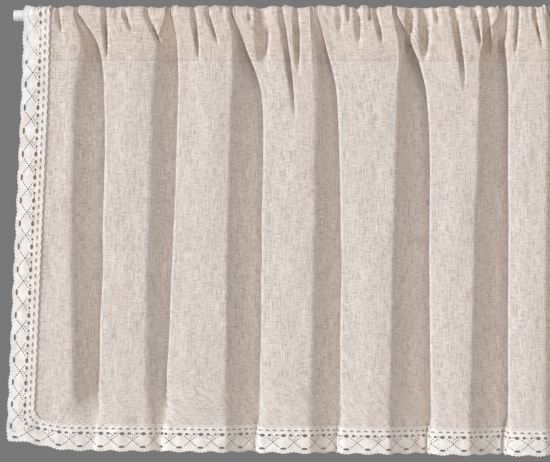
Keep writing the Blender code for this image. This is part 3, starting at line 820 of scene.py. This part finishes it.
def lace_openings():
    """Every opening of one repeat and its neighbours' that reach into it, as (along, inward, long, wide)."""
    half = LACE_REPEAT * 500.0
    rows = []
    for along, inward, long, wide, sides in OPENINGS:
        for side in (1, -1) if sides == "both" else (1,):
            for shift in (-2 * half, 0.0, 2 * half):
                rows.append((side * along + shift, inward, long, wide))
    return [row for row in rows if abs(row[0]) < half + row[2]]


def lace_repeat_mesh(settings, length):
    """One flat repeat of the lace: x along it from 0 to length, y in from its outer edge, z its relief."""
    along_cells = round(length / settings.lace_cell)
    across_cells = round(LACE_WIDTH / settings.lace_cell)
    shape = bmesh.new()
    bmesh.ops.create_grid(shape, x_segments=along_cells, y_segments=across_cells, size=1.0)
    openings = lace_openings()
    stretch = length / LACE_REPEAT
    half = LACE_REPEAT * 500.0
    for vert in shape.verts:
        vert.co.x = (vert.co.x + 1.0) * half - half
        vert.co.y = (vert.co.y + 1.0) * LACE_WIDTH * 500.0
    cut = []
    for face in shape.faces:
        centre = face.calc_center_median()
        for along, inward, long, wide in openings:
            if ((centre.x - along) / long) ** 2 + ((centre.y - inward) / wide) ** 2 < 0.25:
                cut.append(face)
                break
    bmesh.ops.delete(shape, geom=cut, context="FACES")
    for vert in shape.verts:
        nearest, opening = 9.0, None
        for row in openings:
            reach = 2.0 * math.hypot((vert.co.x - row[0]) / row[2], (vert.co.y - row[1]) / row[3])
            if reach < nearest:
                nearest, opening = reach, row
        on_side = abs(abs(vert.co.x) - half) < 0.01
        at_hole = any(edge.is_boundary for edge in vert.link_edges) and 0.3 < vert.co.y < 26.8
        x, y = vert.co.x, vert.co.y
        if at_hole and nearest < 1.7 and not on_side:
            x = opening[0] + (x - opening[0]) / nearest
            y = opening[1] + (y - opening[1]) / nearest
        rim = math.exp(-(((nearest - 1.15) / 0.35) ** 2))
        diamond = max(0.0, 1.0 - abs(x) / DIAMOND_HALF[0] - abs(y - DIAMOND_MIDDLE) / DIAMOND_HALF[1])
        ribs = RIB_HEIGHT * math.cos(2 * math.pi * y / RIB_SPACING) * (y < RIB_BAND)
        vert.co.z = (RIM_HEIGHT * rim + DIAMOND_HEIGHT * diamond + ribs) / 1000.0
        turn = math.pi * x / half
        pull = (SCALLOP * (0.5 - 0.5 * math.cos(turn)) ** 1.3 + PICOT * math.cos(turn * 6.0)) * 1000.0
        y += pull * max(0.0, 1.0 - y / EDGE_BAND)
        vert.co.x = (x + half) / 1000.0 * stretch
        vert.co.y = y / 1000.0
    return finished_mesh("lace_repeat", shape)


def cut_flat(mesh, point, normal):
    """Cuts a flat strip along a line and drops what lies on the side that the normal points to."""
    shape = bmesh.new()
    shape.from_mesh(mesh)
    whole = list(shape.verts) + list(shape.edges) + list(shape.faces)
    bmesh.ops.bisect_plane(
        shape, geom=whole, plane_co=(*point, 0.0), plane_no=(*normal, 0.0), clear_outer=True, dist=0.00001
    )
    shape.to_mesh(mesh)
    shape.free()


def joined_meshes(name, meshes):
    """One mesh of several."""
    shape = bmesh.new()
    for mesh in meshes:
        shape.from_mesh(mesh)
    return finished_mesh(name, shape)


def round_corners(u, v):
    """Draws the lace's flat places in round the cloth's two lower corners."""
    from_low = HEM_DROP + LACE_BEYOND - v
    for inward_sign, from_side in ((1.0, u + LACE_BEYOND), (-1.0, FLAT_WIDTH + LACE_BEYOND - u)):
        reach = CORNER_ROUND + CORNER_ROUND_SHARE * np.maximum(np.minimum(from_side, from_low), 0.0)
        near = np.clip(1.0 - np.abs(from_side - from_low) / reach, 0.0, 1.0)
        pull = 0.29 * reach * near**2
        u, v = u + inward_sign * pull, v - pull
    return u, v


def strip_to_cloth(mesh, net, to_flat):
    """Lays a flat strip on the cloth. to_flat turns its (along, inward) places into (u, v)."""
    along, inward, relief = corner_places(mesh).T
    u, v = round_corners(*to_flat(along, inward))
    move_corners(mesh, on_net(net, u, v, LACE_LIFT + relief))
    flat_uv(mesh, along, inward)


def cord_line(net, to_flat, start, end):
    """The wavy cord's path along the lace's inner edge."""
    along = np.arange(start, end, 0.0006)
    inward = LACE_WIDTH - 0.0004 + 0.0005 * np.cos(2 * math.pi * along / (LACE_REPEAT / 3))
    u, v = round_corners(*to_flat(along, inward))
    return on_net(net, u, v, np.full_like(u, LACE_LIFT + 0.0002))


def turned_over(mesh):
    """Turns a mesh's faces round."""
    shape = bmesh.new()
    shape.from_mesh(mesh)
    bmesh.ops.reverse_faces(shape, faces=shape.faces)
    shape.to_mesh(mesh)
    shape.free()


STATE = {}


def shared(settings):
    """The cloth's net and the finishes, made once."""
    if not STATE:
        STATE["net"] = cloth_net(settings)
        STATE["linen"] = linen_material(settings)
        STATE["lace"] = lace_material(settings)
    return STATE


class CURTAIN_OT_rod(bpy.types.Operator):
    """Make the round rod with its closed, slightly domed ends"""

    bl_idname = "curtain.rod"
    bl_label = "Make the Rod"

    def execute(self, context):
        dome, edge = 0.0004, 0.0007
        outline = [
            (0.0, 0.0),
            (dome * 0.2, ROD_RADIUS * 0.5),
            (dome, ROD_RADIUS - edge),
            (dome + edge * 0.3, ROD_RADIUS - edge * 0.3),
            (dome + edge, ROD_RADIUS),
            (dome + 2.0 * edge, ROD_RADIUS),
            (dome + 12.0 * edge, ROD_RADIUS),
        ]
        rings = outline + [(ROD_LENGTH - x, radius) for x, radius in reversed(outline)]
        shape = bmesh.new()
        corners = [shape.verts.new((x, 0.0, radius)) for x, radius in rings]
        edges = [shape.edges.new(pair) for pair in zip(corners, corners[1:])]
        bmesh.ops.spin(
            shape,
            geom=corners + edges,
            axis=(1.0, 0.0, 0.0),
            cent=(0.0, 0.0, 0.0),
            angle=2 * math.pi,
            steps=64,
            use_merge=True,
        )
        bmesh.ops.remove_doubles(shape, verts=shape.verts, dist=0.00001)
        bmesh.ops.recalc_face_normals(shape, faces=shape.faces)
        mesh = finished_mesh("rod_enamelled", shape)
        rod = new_piece("rod_enamelled", mesh, enamel_material(context.scene.curtain))
        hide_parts("rod")
        return {"FINISHED"}


class CURTAIN_OT_linen(bpy.types.Operator):
    """Make the gathered linen with its pocket over the rod and its turned hems"""

    bl_idname = "curtain.linen"
    bl_label = "Make the Linen"

    def execute(self, context):
        state = shared(context.scene.curtain)
        net = state["net"]
        columns, rows = net[0], net[1]
        inside = columns[(columns > -0.00001) & (columns < FLAT_WIDTH + 0.00001)]
        down = np.append(rows[rows < HEM_DROP - 0.001], HEM_DROP)
        turned = np.linspace(0.0002, SIDE_HEM, 5)
        layer = 0.0006
        u = np.concatenate([turned[::-1], inside, FLAT_WIDTH - turned])
        u_back = np.concatenate([np.full(5, layer), np.zeros(len(inside)), np.full(5, layer)])
        u_flat = np.concatenate([-turned[::-1], inside, FLAT_WIDTH + turned])
        v = np.concatenate([down, HEM_DROP - turned])
        v_back = np.concatenate([np.zeros(len(down)), np.full(5, layer)])
        v_flat = np.concatenate([down, HEM_DROP + turned])
        grid_u, grid_v = np.meshgrid(u, v, indexing="ij")
        back = -(u_back[:, None] + v_back[None, :])
        points = on_net(net, grid_u.ravel(), grid_v.ravel(), back.ravel()).reshape(len(u), len(v), 3)
        mesh, column, row = grid_mesh("linen_cloth", points)
        flat_uv(mesh, u_flat[column], v_flat[row])
        turned_over(mesh)
        cloth = new_piece("linen_cloth", mesh, state["linen"])
        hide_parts("linen_panel")
        return {"FINISHED"}


class CURTAIN_OT_lace(bpy.types.Operator):
    """Make the three strips of bobbin lace, mitred at the lower corners"""

    bl_idname = "curtain.lace"
    bl_label = "Make the Lace"

    def strip(self, context, name, node, count, start, length, to_flat, cuts, cord_ends, flip):
        """One strip of lace of count repeats, the first starting at start."""
        settings = context.scene.curtain
        state = shared(settings)
        repeat = lace_repeat_mesh(settings, length)
        mesh = made_with(repeats_tree(), repeat, count=count, length=length, look=state["lace"])
        move_corners(mesh, corner_places(mesh) + np.array([start, 0.0, 0.0]))
        for point, normal in cuts:
            cut_flat(mesh, point, normal)
        strip_to_cloth(mesh, state["net"], to_flat)
        if flip:
            turned_over(mesh)
        path = line_mesh("cord_path", cord_line(state["net"], to_flat, *cord_ends))
        cord = made_with(cord_tree(), path, thickness=settings.cord, look=state["lace"])
        whole = joined_meshes(name, [mesh, cord])
        piece = new_piece(name, whole, state["lace"])
        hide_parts(node)
        return piece

    def execute(self, context):
        slant = math.sqrt(0.5)
        lowest, outer = HEM_DROP + LACE_BEYOND, FLAT_WIDTH + LACE_BEYOND
        length = FLAT_WIDTH / REPEATS
        hem = self.strip(
            context,
            "lace_along_hem",
            "lace_hem",
            REPEATS + 2,
            -length,
            length,
            lambda along, inward: (along, lowest - inward),
            (((0.0, LACE_BEYOND), (-slant, slant)), ((FLAT_WIDTH, LACE_BEYOND), (slant, slant))),
            (LACE_OVERLAP - 0.001, FLAT_WIDTH - LACE_OVERLAP + 0.001),
            True,
        )
        start = -WRAP_LENGTH - POCKET_DEPTH + 0.0005
        first = math.floor(start / LACE_REPEAT - 0.5) + 0.5
        count = math.ceil(lowest / LACE_REPEAT - first)
        sides = (
            ("lace_left_side", "lace_left", lambda along, inward: (inward - LACE_BEYOND, along), False),
            ("lace_right_side", "lace_right", lambda along, inward: (outer - inward, along), True),
        )
        for name, node, to_flat, flip in sides:
            side = self.strip(
                context,
                name,
                node,
                count,
                first * LACE_REPEAT,
                LACE_REPEAT,
                to_flat,
                (((start, 0.0), (-1.0, 0.0)), ((HEM_DROP, LACE_BEYOND), (slant, slant))),
                (start, HEM_DROP - LACE_OVERLAP),
                flip,
            )
        return {"FINISHED"}


class CURTAIN_OT_sewing(bpy.types.Operator):
    """Sew the pocket's seam and the lace to the linen"""

    bl_idname = "curtain.sewing"
    bl_label = "Sew the Seams"

    def sewn(self, points, pitch, look):
        """Stitches of one length along a line of points."""
        line = line_mesh("seam", points)
        return made_with(stitches_tree(), line, pitch=pitch, thickness=THREAD_THICKNESS, look=look)

    def execute(self, context):
        settings = context.scene.curtain
        net = shared(settings)["net"]
        thread = thread_material("linen thread", toned(settings.linen, 0.8))
        white = thread_material("white thread", settings.lace)
        u = np.arange(0.0005, FLAT_WIDTH, ROUTE_STEP)
        seam = on_net(net, u, np.full_like(u, POCKET_DEPTH), np.full_like(u, 0.0001))
        made = self.sewn(seam, settings.stitch, thread)
        new_piece("pocket_stitches", made, thread)
        lift = LACE_LIFT + 0.0002
        inward = LACE_OVERLAP - 0.0014
        across = np.arange(inward, FLAT_WIDTH - inward, ROUTE_STEP)
        down = np.arange(0.0, HEM_DROP - inward, ROUTE_STEP)
        routes = (
            (across, np.full_like(across, HEM_DROP - inward)),
            (np.full_like(down, inward), down),
            (np.full_like(down, FLAT_WIDTH - inward), down),
        )
        lines = [on_net(net, *round_corners(*route), np.full_like(route[0], lift)) for route in routes]
        sewn = joined_meshes("lace_stitches", [self.sewn(line, LACE_STITCH, white) for line in lines])
        new_piece("lace_stitches", sewn, white)
        return {"FINISHED"}


class CURTAIN_OT_stage(bpy.types.Operator):
    """Set the camera, the soft lights and the plain floor"""

    bl_idname = "curtain.stage"
    bl_label = "Set the Stage"

    def light(self, name, kind, place, power, target, softness, colour=(1.0, 1.0, 1.0)):
        """A far, even light of a given angle or a large panel of a given size."""
        lamp = bpy.data.lights.new(name, kind)
        if kind == "SUN":
            lamp.angle = math.radians(softness)
        else:
            lamp.size = softness
        lamp.energy = power
        lamp.color = colour
        made = new_object(name, lamp, place)
        made.rotation_euler = (Vector(target) - Vector(place)).to_track_quat("-Z", "Y").to_euler()

    def execute(self, context):
        scene = context.scene
        low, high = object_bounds()
        centre = (low + high) / 2
        camera = bpy.data.cameras.new("camera")
        camera.sensor_width = SENSOR
        camera.lens = SENSOR * CAMERA_AWAY / PICTURE_WIDTH
        scene.camera = new_object("camera", camera, CAMERA_PLACE)
        scene.camera.rotation_euler = (math.pi / 2, 0.0, 0.0)
        cool = (0.945, 0.998, 1.095)
        self.light("key", "SUN", centre + Vector((-2.0, -1.25, 0.72)), 2.62, centre, 14.0, cool)
        self.light("fill", "AREA", centre + Vector((0.3, -3.2, 0.5)), 26.0, centre, 2.6)
        self.light("behind", "AREA", centre + Vector((0.9, 2.4, 0.7)), 44.0, centre, 2.2)
        round_floor = bmesh.new()
        bmesh.ops.create_circle(round_floor, cap_ends=True, segments=96, radius=FLOOR_RADIUS)
        mesh = finished_mesh("floor", round_floor)
        paint, _, _ = new_material("pale floor", 0.85, Base_Color=(0.60, 0.60, 0.595, 1.0))
        mesh.materials.append(paint)
        floor = new_object("floor", mesh, (centre.x, centre.y, low.z - FLOOR_BELOW))
        floor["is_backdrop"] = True
        world = bpy.data.worlds.new("soft room")
        world.use_nodes = True
        scene.world = world
        tree = world.node_tree
        shown = tree.nodes["Background"]
        # Painted shade: the camera alone sees the plain dark backdrop, which stands in for the shade behind
        # the curtain through the lace's openings, while the warm ambient lights the scene
        shown.inputs[0].default_value = (*scene.curtain.backdrop, 1.0)
        ambient = tree.nodes.new("ShaderNodeBackground")
        ambient.inputs[0].default_value = (1.0, 0.892, 0.792, 1.0)
        ambient.inputs[1].default_value = 0.365
        ray = tree.nodes.new("ShaderNodeLightPath")
        mix = tree.nodes.new("ShaderNodeMixShader")
        tree.links.new(ray.outputs["Is Camera Ray"], mix.inputs[0])
        tree.links.new(ambient.outputs[0], mix.inputs[1])
        tree.links.new(shown.outputs[0], mix.inputs[2])
        tree.links.new(mix.outputs[0], tree.nodes["World Output"].inputs[0])
        scene.view_settings.view_transform = "Standard"
        return {"FINISHED"}


class CURTAIN_PT_panel(bpy.types.Panel):
    """Sizes, colours and steps of the curtain"""

    bl_idname = "CURTAIN_PT_panel"
    bl_label = "Cafe Curtain"
    bl_space_type = "VIEW_3D"
    bl_region_type = "UI"
    bl_category = "Curtain"

    def draw(self, context):
        settings = context.scene.curtain
        for name in CurtainSettings.__annotations__:
            self.layout.prop(settings, name)
        for step in STEPS:
            self.layout.operator(step.bl_idname)


STEPS = (CURTAIN_OT_rod, CURTAIN_OT_linen, CURTAIN_OT_lace, CURTAIN_OT_sewing, CURTAIN_OT_stage)
CLASSES = (CurtainSettings, *STEPS, CURTAIN_PT_panel)


def register():
    for kind in CLASSES:
        bpy.utils.register_class(kind)
    bpy.types.Scene.curtain = bpy.props.PointerProperty(type=CurtainSettings)


def unregister():
    del bpy.types.Scene.curtain
    for kind in reversed(CLASSES):
        bpy.utils.unregister_class(kind)


def main():
    """Makes every piece and the stage."""
    register()
    bpy.ops.curtain.rod()
    bpy.ops.curtain.linen()
    bpy.ops.curtain.lace()
    bpy.ops.curtain.sewing()
    bpy.ops.curtain.stage()


if __name__ == "__main__":
    main()
